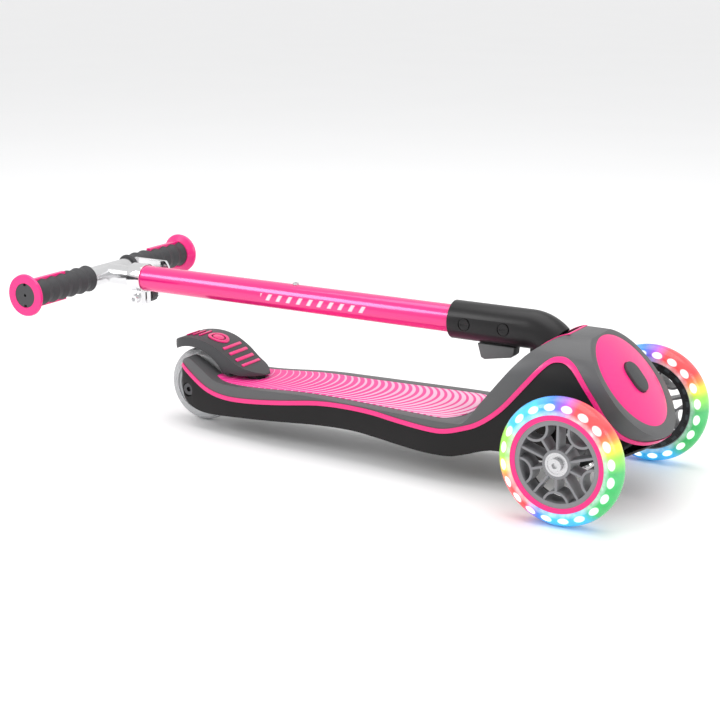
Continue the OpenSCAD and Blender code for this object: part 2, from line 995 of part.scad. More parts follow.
module grip_band(side) {
    color(pink)
        grip_at(side) {
            rotate_extrude()
                polygon([
                    [cross_d / 2, grip_end - flange_t], [grip_d / 2 + 1, grip_end - flange_t],
                    [flange_d / 2 - 1, grip_end - 4], [flange_d / 2, grip_end - 2.5],
                    [flange_d / 2 - 0.6, grip_end], [13, grip_end], [13, grip_end - 3.5],
                    [cross_d / 2, grip_end - 5]
                ]);
            for (turn = [0, 180])
                rotate([0, 0, turn])
                    intersection() {
                        strip_block(0);
                        cylinder(r = grip_d / 2 + 0.9, h = grip_end - flange_t);
                        difference() {
                            cylinder(r = 40, h = grip_end);
                            translate([0, 0, -1])
                                cylinder(r = grip_d / 2 - 2.6, h = grip_end + 2);
                        }
                    }
        }
}

module grip_plugs() {
    color(rubber)
        for (side = [-1, 1])
            grip_at(side)
                difference() {
                    union() {
                        translate([0, 0, grip_end - 3.5])
                            cylinder(r = 12.8, h = 3.2);
                        translate([0, 0, grip_end - 20])
                            cylinder(r = cross_d / 2 - inner_wall, h = 17);
                    }
                    translate([0, 0, grip_end - 14])
                        cylinder(r = 1.6, h = 20);
                    for (turn = [0, 180])
                        rotate([0, 0, turn])
                            translate([0, 11.5, grip_end - 1.4])
                                cube([3.4, 3, 4], center = true);
                }
}

collar_r = tube_d / 2 + 1.6;
collar_x = tube_top_x;
bolt_x = collar_x + 8;
bolt_z = bar_z - tube_d / 2 - 8.5;

module clamp_collar() {
    color(silver)
        difference() {
            union() {
                translate([collar_x, 0, bar_z])
                    along_x()
                        cylinder(r = collar_r, h = collar_w);
                translate([collar_x + 1, -8, bolt_z - 7])
                    cube([collar_w - 3, 16, bar_z - bolt_z - 4]);
            }
            translate([collar_x - 1, 0, bar_z])
                along_x()
                    cylinder(d = tube_d, h = collar_w + 2);
            translate([collar_x - 1, -1.2, bolt_z - 10])
                cube([collar_w + 2, 2.4, 25]);
            translate([bolt_x, 0, bolt_z])
                rotate([90, 0, 0])
                    cylinder(d = 5, h = 60, center = true);
        }
}

// The clamp bolt runs across the two ears, from its head on the right to the lever's cam
module clamp_bolt() {
    color(silver)
        translate([bolt_x, 0, bolt_z])
            along_y()
                difference() {
                    union() {
                        translate([0, 0, -13])
                            cylinder(d = 5, h = 26.5);
                        translate([0, 0, -14])
                            cylinder(d = 10, h = 6);
                    }
                    translate([0, 0, -15])
                        cylinder(d = 5, h = 4, $fn = 6);
                }
}

module clamp_nut() {
    color(black)
        translate([bolt_x, 0, bolt_z])
            along_y()
                difference() {
                    union() {
                        translate([0, 0, 8])
                            cylinder(d = 13, h = 3);
                        translate([0, 0, 11])
                            cylinder(d = 15, h = 10);
                    }
                    translate([0, 0, 7])
                        cylinder(d = 5, h = 6.5);
                    for (i = [0 : 11])
                        rotate([0, 0, 30 * i])
                            translate([7.9, 0, 12.5])
                                cylinder(r = 1, h = 12, $fn = 12);
                }
}

lever_y = 24.4;
lever_r = 26;

// A wide curved lever that wraps round the far side of the tube, hinged beyond the nut
module clamp_lever() {
    lever_len = 42;
    color(silver)
        translate([bolt_x - 20, 0, 0]) {
            difference() {
                translate([0, 0, bar_z])
                    along_x()
                        difference() {
                            cylinder(r = lever_r, h = lever_len);
                            translate([0, 0, -1])
                                cylinder(r = lever_r - 2.6, h = lever_len + 2);
                        }
                translate([-5, -60, bar_z - 60])
                    cube([60, 60 + 15, 120]);
                translate([-5, 0, bar_z - 60])
                    cube([60, 60, 60 - 12]);
                translate([-5, 0, bar_z + 17.5])
                    cube([60, 60, 40]);
            }
            translate([20 - 6, lever_y, bolt_z])
                along_x()
                    cylinder(r = 3, h = 12);
            translate([20 - 6, lever_y - 2.8, bolt_z])
                cube([12, 2.8, 12.4]);
        }
}

// Front wheels, drawn for the left side with the outer face towards +Y
module wheel_at(side) {
    translate([front_x, side * wheel_y, axle_z])
        mirror([0, side < 0 ? 1 : 0, 0])
            along_y()
                children();
}

module ring_shape(outer, inner) {
    difference() {
        circle(r = outer, $fn = 96);
        circle(r = inner, $fn = 96);
    }
}

module tyre(side) {
    round_r = front_w / 2;
    color(clear)
        wheel_at(side)
            rotate_extrude($fn = 96)
                intersection() {
                    union() {
                        translate([axle_z - round_r, 0])
                            circle(r = round_r);
                        translate([rim_r - 4, -round_r])
                            square([axle_z - round_r - rim_r + 4, 2 * round_r]);
                    }
                    translate([rim_r, -round_r])
                        square([axle_z - rim_r, 2 * round_r]);
                }
}

rim_half = front_w / 2 - 1;
face_r = rim_r - ring_w;
well_r = face_r - 4.4;
lamp_t = 4;

// Straight spokes, and half-moon windows on short stems between them
module rim_spokes() {
    for (i = [0 : spokes - 1])
        rotate([0, 0, 360 / spokes * i - 90]) {
            translate([hub_r - 1, -1.1])
                square([well_r - hub_r + 2, 2.2]);
            rotate([0, 0, 180 / spokes]) {
                intersection() {
                    translate([well_r + 2, 0])
                        ring_shape(13.2, 11);
                    circle(r = well_r + 1);
                }
                translate([hub_r - 1, -1.1])
                    square([well_r - hub_r - 9.2, 2.2]);
            }
        }
}

module rim(side) {
    back_z = lamp_t - rim_half;
    color(grey)
        wheel_at(side) {
            rotate_extrude($fn = 96)
                polygon([
                    [well_r, back_z], [rim_r - 1, back_z], [rim_r - 1, -rim_half],
                    [rim_r, -rim_half], [rim_r, rim_half - 1.5], [face_r, rim_half - 1.5],
                    [face_r, rim_half], [well_r, rim_half]
                ]);
            rotate_extrude()
                translate([bearing_d / 2, -rim_half])
                    square([hub_r - bearing_d / 2, 2 * rim_half]);
            translate([0, 0, back_z + 0.6])
                linear_extrude(rim_half - back_z - 1.2)
                    rim_spokes();
        }
}

module ring(side) {
    color(pink)
        wheel_at(side)
            translate([0, 0, rim_half - 1.5])
                linear_extrude(2)
                    ring_shape(rim_r, face_r);
}

// The lamp ring carries the light-emitting diodes behind the rim
module light_ring(side) {
    color(black)
        wheel_at(side)
            translate([0, 0, -rim_half])
                difference() {
                    linear_extrude(lamp_t)
                        ring_shape(rim_r - 1, well_r + 1);
                    for (i = [0 : 19])
                        rotate([0, 0, 18 * i])
                            translate([rim_r - 3, 0, -1])
                                cube([3, 3, 3], center = true);
                }
}

module bearing_pair(outer_face) {
    for (side = [-1, 1])
        translate([0, 0, side * (outer_face - bearing_w / 2)])
            difference() {
                cylinder(d = bearing_d, h = bearing_w, center = true);
                cylinder(r = axle_d / 2 + run_gap, h = bearing_w + 1, center = true);
                for (face = [-1, 1])
                    translate([0, 0, face * bearing_w / 2])
                        linear_extrude(1, center = true)
                            ring_shape(bearing_d / 2 - 2, axle_d / 2 + 2);
            }
}

module axle_spacer(outer_face) {
    difference() {
        cylinder(r = axle_d / 2 + 2, h = 2 * (outer_face - bearing_w), center = true);
        cylinder(r = axle_d / 2 + run_gap, h = 60, center = true);
    }
}

module bearings(side) {
    color(silver)
        wheel_at(side)
            bearing_pair(rim_half);
}

module spacer(side) {
    color(silver)
        wheel_at(side)
            axle_spacer(rim_half);
}

// Knuckles: the stub that carries a wheel, turning on its leaning kingpin
boss_end = wheel_y - rim_half - 0.4;
bolt_tip = kingpin_y + 8;

module axle_bolt(side) {
    color(silver)
        wheel_at(side)
            difference() {
                union() {
                    translate([0, 0, bolt_tip - wheel_y])
                        cylinder(d = axle_d, h = wheel_y - bolt_tip + rim_half + 0.5);
                    translate([0, 0, rim_half + 0.4])
                        cylinder(r = axle_d / 2 + 2.2, h = 3.6);
                }
                translate([0, 0, rim_half + 1.5])
                    cylinder(d = 6, h = 5, $fn = 6);
            }
}

module knuckle(side) {
    color(rubber)
        difference() {
            union() {
                nose_frame()
                    translate([0, side * kingpin_y, 0]) {
                        cylinder(r = knuckle_r, h = 2 * knuckle_h, center = true);
                        translate([0, -5, 2.4])
                            cube([arm_len, 10, 4]);
                        translate([arm_len, 0, 2.4])
                            cylinder(r = 5, h = 4);
                        translate([arm_len, 0, -3])
                            cylinder(d = 5, h = 6);
                    }
                wheel_at(side)
                    translate([0, 0, kingpin_y - wheel_y])
                        cylinder(r = 7.8, h = boss_end - kingpin_y);
            }
            nose_frame()
                translate([0, side * kingpin_y, 0])
                    cylinder(r = kingpin_d / 2 + run_gap, h = 60, center = true);
            wheel_at(side)
                translate([0, 0, bolt_tip - wheel_y])
                    cylinder(d = axle_d, h = 100);
        }
}

module tie_rod() {
    color(silver)
        nose_frame()
            difference() {
                union() {
                    translate([arm_len - 4, -kingpin_y, -2])
                        cube([8, 2 * kingpin_y, 4]);
                    for (side = [-1, 1])
                        translate([arm_len, side * kingpin_y, -2])
                            cylinder(r = 6, h = 4);
                    translate([arm_len - 1.5, -9, -2])
                        cube([3, 18, plate_t + 10]);
                }
                for (side = [-1, 1])
                    translate([arm_len, side * kingpin_y, -5])
                        cylinder(r = 2.5 + run_gap, h = 10);
            }
}

// Rear wheel
module rear_at() {
    translate([rear_x, 0, rear_z])
        along_y()
            children();
}

module rear_tyre() {
    round_r = rear_w / 2;
    color(clear)
        rear_at()
            rotate_extrude($fn = 96)
                intersection() {
                    union() {
                        translate([rear_z - round_r, 0])
                            circle(r = round_r);
                        translate([rear_rim_r - 4, -round_r])
                            square([rear_z - round_r - rear_rim_r + 4, 2 * round_r]);
                    }
                    translate([rear_rim_r, -round_r])
                        square([rear_z - rear_rim_r, 2 * round_r]);
                }
}

module rear_rim() {
    color("#b9bdc1")
        rear_at()
            difference() {
                union() {
                    translate([0, 0, -rear_w / 2 + 1])
                        linear_extrude(rear_w - 2)
                            ring_shape(rear_rim_r, rear_rim_r - 3.5);
                    translate([0, 0, -2])
                        linear_extrude(4)
                            ring_shape(rear_rim_r - 3, bearing_d / 2);
                    for (i = [0 : 9])
                        rotate([0, 0, 36 * i])
                            translate([hub_r - 1, -1, -rear_w / 2 + 2])
                                cube([rear_rim_r - hub_r - 1.5, 2, rear_w - 4]);
                    linear_extrude(2 * rear_hub - 1, center = true)
                        ring_shape(hub_r, bearing_d / 2);
                }
            }
}

module rear_bearings() {
    color(silver)
        rear_at()
            bearing_pair(rear_hub);
}

module rear_spacer() {
    color(silver)
        rear_at()
            axle_spacer(rear_hub);
}

module rear_axle() {
    color(silver)
        rear_at()
            difference() {
                union() {
                    translate([0, 0, -rear_hub - 14])
                        cylinder(d = axle_d, h = 2 * rear_hub + 28);
                    translate([0, 0, -rear_hub - 18])
                        cylinder(r = 6.6, h = 4);
                }
                translate([0, 0, -rear_hub - 19])
                    cylinder(d = 6, h = 4, $fn = 6);
            }
}

module rear_nut() {
    color(silver)
        rear_at()
            translate([0, 0, rear_hub + 14])
                cylinder(d = 13, h = 4, $fn = 6);
}

// Brake fender: a lever over the rear wheel, hinged in the deck
fender_r = rear_d / 2 + fender_gap;
fender_top = [
    [rear_x - 25, rear_z + 44], [rear_x - 23, rear_z + 50], [rear_x - 14, rear_z + 54],
    [rear_x + 5, rear_z + 55.5], [rear_x + 24, rear_z + 52], [rear_x + 42, rear_z + 43],
    [rear_x + 57, rear_z + 32.5], [rear_x + 70, rear_z + 27], [rear_x + 82, rear_z + 22.5]
];

module brake_fender() {
    under = concat(
        [[rear_x + 83, deck_z], [rear_x + 58, deck_z], [rear_x + 48, deck_z + 2]],
        arc(rear_x, rear_z, fender_r, 28, 118, 6));
    plan = smooth([
        [rear_x - 27, 14], [rear_x - 20, fender_half - 3], [rear_x - 4, fender_half],
        [rear_x + 38, fender_half], [rear_x + 60, fender_half - 3],
        [rear_x + 73, fender_half - 9], [rear_x + 83, 4]
    ], 4);
    color(rubber)
        difference() {
            union() {
                intersection() {
                    side_plate(100)
                        polygon(concat(smooth(fender_top, 4), under));
                    linear_extrude(200)
                        polygon(both_sides(plan));
                }
                translate([brake_pin_x, 0, brake_pin_z])
                    rotate([90, 0, 0])
                        cylinder(r = 5, h = 18, center = true);
                translate([brake_pin_x - 5, -9, brake_pin_z])
                    cube([10, 18, deck_z - brake_pin_z + 2]);
            }
            along_brake_pin(brake_pin_d / 2 + run_gap, 60);
        }
}

rib_spots = [-14, -6, 2, 37, 45, 53, 61];

module brake_ribs() {
    inner = [for (q = smooth(fender_top, 4)) [q[0], q[1]]];
    color(pink)
        intersection() {
            side_plate(100)
                polygon(concat(shift_up(inner, 1.2), flip(inner)));
            union() {
                for (x = rib_spots)
                    translate([rear_x + x, 0, rear_z])
                        linear_extrude(100)
                            square([2.6, x < 10 ? 22 : 32], center = true);
                translate([rear_x + 19.5, 0, rear_z])
                    linear_extrude(100) {
                        ring_shape(11.5, 7.8);
                        circle(r = 6);
                    }
            }
        }
}

module brake_pin() {
    color(silver)
        along_brake_pin(brake_pin_d / 2, 36);
}

// A torsion spring round the brake's pin, swept along its helix
function coil_ring(a, r, wire, pitch, sides) = [
    for (j = [0 : sides - 1])
        let (b = 360 * j / sides, rr = r + wire * cos(b))
            [rr * cos(a), rr * sin(a), pitch * a / 360 + wire * sin(b)]
];

module coil(turns, r, wire, pitch) {
    steps = turns * 14;
    sides = 6;
    rings = [for (i = [0 : steps]) coil_ring(i * 360 / 14, r, wire, pitch, sides)];
    points = [for (one = rings) each one];
    quads = [
        for (i = [0 : steps - 1])
            for (j = [0 : sides - 1])
                let (k = (j + 1) % sides)
                    [i * sides + j, i * sides + k, (i + 1) * sides + k, (i + 1) * sides + j]
    ];
    caps = [
        [for (j = [sides - 1 : -1 : 0]) j],
        [for (j = [0 : sides - 1]) steps * sides + j]
    ];
    polyhedron(points, concat(quads, caps));
}

module brake_spring() {
    color(silver)
        translate([brake_pin_x, 9.9, brake_pin_z])
            along_y()
                coil(2, brake_pin_d / 2 + 0.8, 0.5, 1.25);
}

deck_top();
deck_bottom();
deck_trim();
deck_pad();
nose_cap();
neck_gasket();
axle_beam();
kingpins();
hinge_bracket();
fold_pin();
deck_screws();
rear_axle();
rear_nut();
brake_pin();
brake_spring();
neck();
outer_tube();
tube_bush();
clamp_collar();
clamp_bolt();
clamp_nut();
neck_bolts();
guide_screw();
release_trigger();
latch_bolt();
inner_tube();
crossbar();
slide_bush();
grip(-1);  // grip_right
grip(1);  // grip_left
grip_band(-1);  // grip_band_right
grip_band(1);  // grip_band_left
grip_plugs();
clamp_lever();
tyre(-1);  // tyre_right
rim(-1);  // rim_right
ring(-1);  // ring_right
light_ring(-1);  // light_ring_right
bearings(-1);  // bearings_right
spacer(-1);  // spacer_right
axle_bolt(-1);  // axle_bolt_right
knuckle(-1);  // knuckle_right
tyre(1);  // tyre_left
rim(1);  // rim_left
ring(1);  // ring_left
light_ring(1);  // light_ring_left
bearings(1);  // bearings_left
spacer(1);  // spacer_left
axle_bolt(1);  // axle_bolt_left
knuckle(1);  // knuckle_left
tie_rod();
rear_tyre();
rear_rim();
rear_bearings();
rear_spacer();
brake_fender();
brake_ribs();
lock_button();
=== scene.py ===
# %% [markdown]
# This is a folding scooter for a small child, with two light-up wheels in front and one behind.
# The engineering model is loaded first as a fixed frame. Every piece below takes its place from it,
# so nothing has to be fitted by eye.

# %% Load the frame
import json
import math

import bpy
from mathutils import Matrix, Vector


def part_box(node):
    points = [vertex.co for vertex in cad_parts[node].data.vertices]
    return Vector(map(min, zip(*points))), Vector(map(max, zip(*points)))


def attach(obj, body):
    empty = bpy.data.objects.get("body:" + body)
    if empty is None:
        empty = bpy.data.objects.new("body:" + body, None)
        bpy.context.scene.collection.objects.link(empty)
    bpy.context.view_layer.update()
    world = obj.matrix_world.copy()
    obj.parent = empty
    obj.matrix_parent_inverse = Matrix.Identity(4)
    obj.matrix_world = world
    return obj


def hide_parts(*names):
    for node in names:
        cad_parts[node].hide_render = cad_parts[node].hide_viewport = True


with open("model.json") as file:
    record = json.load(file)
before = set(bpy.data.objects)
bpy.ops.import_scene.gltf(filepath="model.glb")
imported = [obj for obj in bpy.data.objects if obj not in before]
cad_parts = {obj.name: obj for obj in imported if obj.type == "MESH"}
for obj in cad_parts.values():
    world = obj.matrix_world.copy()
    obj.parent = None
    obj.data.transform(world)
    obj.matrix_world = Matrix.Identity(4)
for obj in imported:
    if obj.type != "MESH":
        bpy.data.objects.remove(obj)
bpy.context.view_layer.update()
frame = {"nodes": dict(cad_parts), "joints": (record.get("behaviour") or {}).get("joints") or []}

# %% [markdown]
# Every wheel turns about a joint, so the joint's place is the middle of the wheel, and the shader
# patterns on the wheels are centred on it. The tube and the foot pad are placed by their boxes.

# %% Places that patterns and pieces are centred on
joint = {j["name"]: j for j in frame["joints"]}
wheel_centre = {side: Vector(joint["spin_" + side]["pos_m"]) for side in ("right", "left", "rear")}
tube_low, tube_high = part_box("outer_tube")
pad_low, pad_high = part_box("deck_pad")
bar_z = (tube_low.z + tube_high.z) / 2
front_axle = Vector((wheel_centre["right"].x, 0, wheel_centre["right"].z))
TURN = 2 * math.pi
LAMPS = 20                 # lamps round one wheel
LAMP_ROW = 0.0525          # their distance from the axle
PAD_ARC = 0.056            # radius of the arcs on the foot pad
PAD_PITCH = 0.0082         # from one arc to the next
print("wheels at", [tuple(round(c, 3) for c in v) for v in wheel_centre.values()])

# %% [markdown]
# Shader patterns are easier to read as sums than as boxes and wires. This small class wraps the
# socket of a node, and each sign of arithmetic on it adds one Math node. The graph class below adds
# every other kind of node, with its settings first and then the values or links of its sockets.

# %% Shader arithmetic
class Value:
    def __init__(self, graph, socket):
        self.graph, self.socket = graph, socket

    def math(self, operation, *others):
        return self.graph.add("ShaderNodeMath", {"operation": operation}, [self, *others])

    def math_from(self, operation, first):
        return self.graph.add("ShaderNodeMath", {"operation": operation}, [first, self])

    def __add__(self, other): return self.math("ADD", other)
    def __radd__(self, other): return self.math("ADD", other)
    def __sub__(self, other): return self.math("SUBTRACT", other)
    def __rsub__(self, other): return self.math_from("SUBTRACT", other)
    def __mul__(self, other): return self.math("MULTIPLY", other)
    def __rmul__(self, other): return self.math("MULTIPLY", other)
    def __truediv__(self, other): return self.math("DIVIDE", other)

    def clamp(self):
        return self.graph.add("ShaderNodeClamp", {}, [self, 0.0, 1.0])

    def band(self, low, high, soft):
        rise = ((self - low) / soft + 0.5).clamp()
        fall = ((high - self) / soft + 0.5).clamp()
        return rise * fall

    def out(self, name):
        return Value(self.graph, self.socket.node.outputs[name])


class Graph:
    def __init__(self, name):
        self.material = bpy.data.materials.new(name)
        self.material.use_nodes = True
        self.tree = self.material.node_tree
        self.shader = self.tree.nodes["Principled BSDF"]

    def add(self, kind, settings, inputs, output=0):
        node = self.tree.nodes.new(kind)
        for key, value in settings.items():
            if key == "stops":
                ramp = node.color_ramp
                while len(ramp.elements) < len(value):
                    ramp.elements.new(0.5)
                for element, (place, colour) in zip(ramp.elements, value):
                    element.position = place
                    element.color = (*colour, 1.0)
            else:
                setattr(node, key, value)
        pairs = inputs.items() if isinstance(inputs, dict) else enumerate(inputs)
        for key, value in pairs:
            if isinstance(value, Value):
                self.tree.links.new(value.socket, node.inputs[key])
            else:
                node.inputs[key].default_value = value
        return Value(self, node.outputs[output])

    def place(self, centre=(0, 0, 0)):
        coord = self.add("ShaderNodeTexCoord", {}, {}, "Object")
        return self.add("ShaderNodeVectorMath", {"operation": "SUBTRACT"}, [coord, tuple(centre)])

    def parts(self, vector):
        split = self.add("ShaderNodeSeparateXYZ", {}, [vector])
        return split.out("X"), split.out("Y"), split.out("Z")

    def noise(self, vector, scale, detail=3.0, rough=0.5):
        inputs = {"Vector": vector, "Scale": scale, "Detail": detail, "Roughness": rough}
        return self.add("ShaderNodeTexNoise", {}, inputs)

    def stretch(self, vector, factors):
        return self.add("ShaderNodeVectorMath", {"operation": "MULTIPLY"}, [vector, tuple(factors)])

    def mix(self, factor, first, second):
        one, two = (c if isinstance(c, Value) else (*c, 1.0) for c in (first, second))
        return self.add("ShaderNodeMix", {"data_type": "RGBA"}, {0: factor, 6: one, 7: two}, 2)

    def ramp(self, factor, stops):
        return self.add("ShaderNodeValToRGB", {"stops": stops}, [factor])

    def bump(self, height, strength, distance):
        inputs = {"Strength": strength, "Distance": distance, "Height": height}
        return self.add("ShaderNodeBump", {}, inputs)

    def finish(self, **sockets):
        for name, value in sockets.items():
            socket = self.shader.inputs[name.replace("_", " ")]
            if isinstance(value, Value):
                self.tree.links.new(value.socket, socket)
            elif isinstance(value, tuple):
                socket.default_value = (*value, 1.0)
            else:
                socket.default_value = value
        return self.material


# %% [markdown]
# Most of the scooter is moulded plastic. A mould leaves a fine even grain, so the colour is almost
# flat and the grain shows in the highlights. Handling rubs faint pale scuffs into it.

# %% Moulded plastics
def moulded(name, colour, roughness, grain=1600, depth=0.25, coat=0.0):
    g = Graph(name)
    where = g.place()
    cloud = g.noise(where, 14.0, 4.0)
    fine = g.noise(where, grain, 2.0)
    scuff = ((g.noise(g.stretch(where, (1.0, 1.4, 1.0)), 60.0, 6.0, 0.65) - 0.62) * 6.0).clamp()
    light = tuple(min(1.0, c * 1.18 + 0.006) for c in colour)
    dark = tuple(c * 0.86 for c in colour)
    base = g.mix(cloud, dark, light)
    base = g.mix(scuff * 0.12, base, tuple(min(1.0, c * 1.5 + 0.03) for c in colour))
    return g.finish(Base_Color=base, Roughness=(fine - 0.5) * 0.12 + scuff * 0.08 + roughness,
                    Normal=g.bump(fine, depth, 0.0002), Coat_Weight=coat, Coat_Roughness=0.12)


grey_shell = moulded("grey_shell", (0.078, 0.078, 0.081), 0.42)
black_shell = moulded("black_shell", (0.0055, 0.0048, 0.005), 0.5)
black_shell.node_tree.nodes["Principled BSDF"].inputs["Specular IOR Level"].default_value = 0.22
dark_plastic = moulded("dark_plastic", (0.034, 0.034, 0.037), 0.45)
trigger_grey = moulded("trigger_grey", (0.105, 0.105, 0.108), 0.45)
grip_rubber = moulded("grip_rubber", (0.030, 0.030, 0.033), 0.62, grain=2600, depth=0.5)
rim_grey = moulded("rim_grey", (0.20, 0.20, 0.21), 0.36)
core_grey = moulded("core_grey", (0.34, 0.35, 0.36), 0.38)
nylon = moulded("nylon", (0.72, 0.72, 0.69), 0.4)
pink_gloss = moulded("pink_gloss", (0.80, 0.006, 0.19), 0.33, grain=900, depth=0.06, coat=0.25)

# %% [markdown]
# The tube is sprayed with a bright pink lacquer. Lacquer dries with a very slight ripple, and under
# its clear coat the colour deepens a little from place to place. A row of plain slanted dashes
# decorates its side.

# %% Lacquered tube
def lacquer(name):
    g = Graph(name)
    where = g.place((0, 0, bar_z))
    x, y, z = g.parts(where)
    ripple = g.noise(where, 220.0, 2.0)
    cloud = g.noise(g.stretch(where, (1, 3, 3)), 9.0, 3.0)
    base = g.mix(cloud, (0.78, 0.005, 0.17), (0.87, 0.014, 0.24))
    slant = (x - z * 0.6) / 0.0125
    dash = slant.math("FRACT").band(0.25, 0.60, 0.10)
    row = x.band(-0.105, 0.022, 0.001) * z.band(-0.0034, 0.0034, 0.0006) * (0.0 - y).band(0.0, 0.1, 0.001)
    base = g.mix(dash * row * 0.8, base, (0.92, 0.80, 0.86))
    return g.finish(Base_Color=base, Roughness=(cloud - 0.5) * 0.08 + 0.24, Metallic=0.25,
                    Normal=g.bump(ripple, 0.05, 0.0002), Coat_Weight=0.8, Coat_Roughness=0.06)


pink_paint = lacquer("pink_lacquer")


def powder_coat(name):
    g = Graph(name)
    where = g.place()
    peel = g.noise(where, 700.0, 3.0)
    cloud = g.noise(where, 25.0, 3.0)
    base = g.mix(cloud, (0.004, 0.0035, 0.004), (0.008, 0.007, 0.008))
    return g.finish(Base_Color=base, Roughness=(cloud - 0.5) * 0.1 + 0.36, Specular_IOR_Level=0.35,
                    Normal=g.bump(peel, 0.3, 0.0002))


black_metal = powder_coat("black_powder_coat")

# %% [markdown]
# Bright metal is all reflection, so what tells one kind from another is how it was finished.
# Drawn tube keeps fine lines along its length, turned parts are even, and plated chrome is smooth
# but for faint hair scratches.

# %% Metals
def metal(name, colour, roughness, lines=(1, 1, 1), depth=0.05):
    g = Graph(name)
    where = g.place()
    drawn = g.noise(g.stretch(where, lines), 500.0, 4.0)
    cloud = g.noise(where, 30.0, 3.0)
    base = g.mix(drawn * 0.5 + cloud * 0.5, tuple(c * 0.86 for c in colour), colour)
    rough = (drawn - 0.5) * 0.14 + (cloud - 0.5) * 0.06 + roughness
    return g.finish(Base_Color=base, Metallic=1.0, Roughness=rough,
                    Normal=g.bump(drawn, depth, 0.0001))


chrome = metal("plated_chrome", (0.80, 0.80, 0.81), 0.10, (1, 0.2, 1), 0.02)
alloy_x = metal("drawn_alloy_along", (0.76, 0.76, 0.77), 0.22, (0.04, 1, 1))
alloy_y = metal("drawn_alloy_across", (0.76, 0.76, 0.77), 0.22, (1, 0.04, 1))
steel = metal("turned_steel", (0.62, 0.62, 0.63), 0.28, depth=0.01)
dark_steel = metal("blackened_steel", (0.10, 0.10, 0.105), 0.38, depth=0.01)

# %% [markdown]
# The foot pad is moulded in two colours: rows of arcs that bulge towards the front. At the back the
# pink fills almost everything, in the middle pale and pink share each row, and at the front thin
# pink lines are left. The pale part of each row stands slightly proud for grip.

# %% Two-colour foot pad
def foot_pad(name):
    g = Graph(name)
    where = g.place((pad_low.x, 0, 0))
    x, y, z = g.parts(where)
    bow = (PAD_ARC * PAD_ARC - y * y).math("MAXIMUM", 0.00001).math("SQRT")
    phase = ((x - bow) / PAD_PITCH + 40.0).math("FRACT")
    along = (x / (pad_high.x - pad_low.x)).clamp()
    pale = along * 0.62 + 0.10
    edge = ((pale - (phase - 0.5).math("ABSOLUTE") * 2.0) / 0.10).clamp()
    grain = g.noise(where, 1500.0, 2.0)
    cloud = g.noise(where, 18.0, 3.0)
    pink = g.mix(cloud, (0.80, 0.018, 0.24), (0.90, 0.035, 0.32))
    light = g.mix(along, (0.93, 0.34, 0.56), (0.90, 0.52, 0.68))
    height = edge * 0.8 + grain * 0.15
    return g.finish(Base_Color=g.mix(edge, pink, light), Roughness=(grain - 0.5) * 0.1 + 0.5,
                    Normal=g.bump(height, 0.5, 0.0006))


pad_rubber = foot_pad("two_colour_pad")

# %% [markdown]
# The tyres are cast from clear polyurethane, and a ring of small lamps sits behind them. Each lamp
# makes a white spot in the side of the tyre, and the plastic between spots picks up its colour.
# The pattern is drawn round the wheel's centre with the angle and the distance from the axle.

# %% Light-up tyres
def lit_tyre(name, centre, colours):
    g = Graph(name)
    x, y, z = g.parts(g.place(centre))
    turn = (z.math("ARCTAN2", x) / TURN + 2.0).math("FRACT")
    radius = (x * x + z * z).math("SQRT")
    hue = g.ramp(turn, colours)
    beat = ((turn * LAMPS).math("FRACT") - 0.5).math("ABSOLUTE") * 2.0
    across = (radius - LAMP_ROW) / 0.0034
    spot = ((1.0 - (beat * beat * 1.9 + across * across)) * 2.4).clamp()
    halo = (1.0 - (beat * beat * 0.9 + across * across * 0.30)).clamp()
    swirl = g.noise(g.place(centre), 55.0, 4.0)
    streak = g.noise(g.stretch(g.place(centre), (1.0, 0.15, 1.0)), 170.0, 2.0)
    pale = ((0.0508 - radius) / 0.0035).clamp() * 0.55
    tint = g.mix(pale * streak * 1.3, hue, (0.80, 0.92, 0.98))
    glow = g.mix(spot, tint, (1.0, 1.0, 1.0))
    power = (halo * 0.35 + spot * 1.1 + (streak - 0.5) * 0.5 + 0.30) * 0.9
    lit = g.add("ShaderNodeVectorMath", {"operation": "SCALE"}, {0: glow, 3: power})
    base = g.mix(swirl * 0.15, tint, (0.9, 0.95, 1.0))
    return g.finish(Base_Color=base, Roughness=(swirl - 0.5) * 0.1 + 0.16,
                    Emission_Color=lit, Emission_Strength=0.75, Normal=g.bump(swirl, 0.04, 0.0004))


cyan, blue, violet, red = (0.0, 0.46, 0.90), (0.0, 0.16, 0.78), (0.28, 0.04, 0.55), (0.88, 0.015, 0.02)
amber, yellow, lime, green = (0.95, 0.20, 0.01), (0.85, 0.75, 0.02), (0.25, 0.70, 0.03), (0.0, 0.40, 0.07)
ring_colours = [(0.0, green), (0.04, lime), (0.065, yellow), (0.085, amber), (0.11, red), (0.20, red),
                (0.235, violet), (0.27, blue), (0.32, cyan), (0.405, cyan), (0.43, lime), (0.50, lime),
                (0.53, yellow), (0.555, amber), (0.58, red), (0.655, red), (0.675, violet), (0.70, blue),
                (0.74, cyan), (0.83, cyan), (0.87, green), (1.0, green)]
tyre_right_look = lit_tyre("lit_tyre_right", wheel_centre["right"], ring_colours)
tyre_left_look = lit_tyre("lit_tyre_left", wheel_centre["left"], ring_colours)


def lamp_ring(name, centre):
    g = Graph(name)
    x, y, z = g.parts(g.place(centre))
    turn = (z.math("ARCTAN2", x) / TURN + 2.0).math("FRACT")
    radius = (x * x + z * z).math("SQRT")
    beat = ((turn * LAMPS).math("FRACT") - 0.5).math("ABSOLUTE") * 2.0
    chip = (0.0 - beat).band(-0.42, 1.0, 0.04) * radius.band(0.0408, 0.0436, 0.0003)
    grain = g.noise(g.place(centre), 1200.0, 2.0)
    base = g.mix(grain, (0.010, 0.011, 0.012), (0.020, 0.021, 0.023))
    return g.finish(Base_Color=g.mix(chip * 0.5, base, (0.07, 0.09, 0.10)), Roughness=grain * 0.1 + 0.36,
                    Normal=g.bump(grain + chip * 2.0, 0.2, 0.0003))


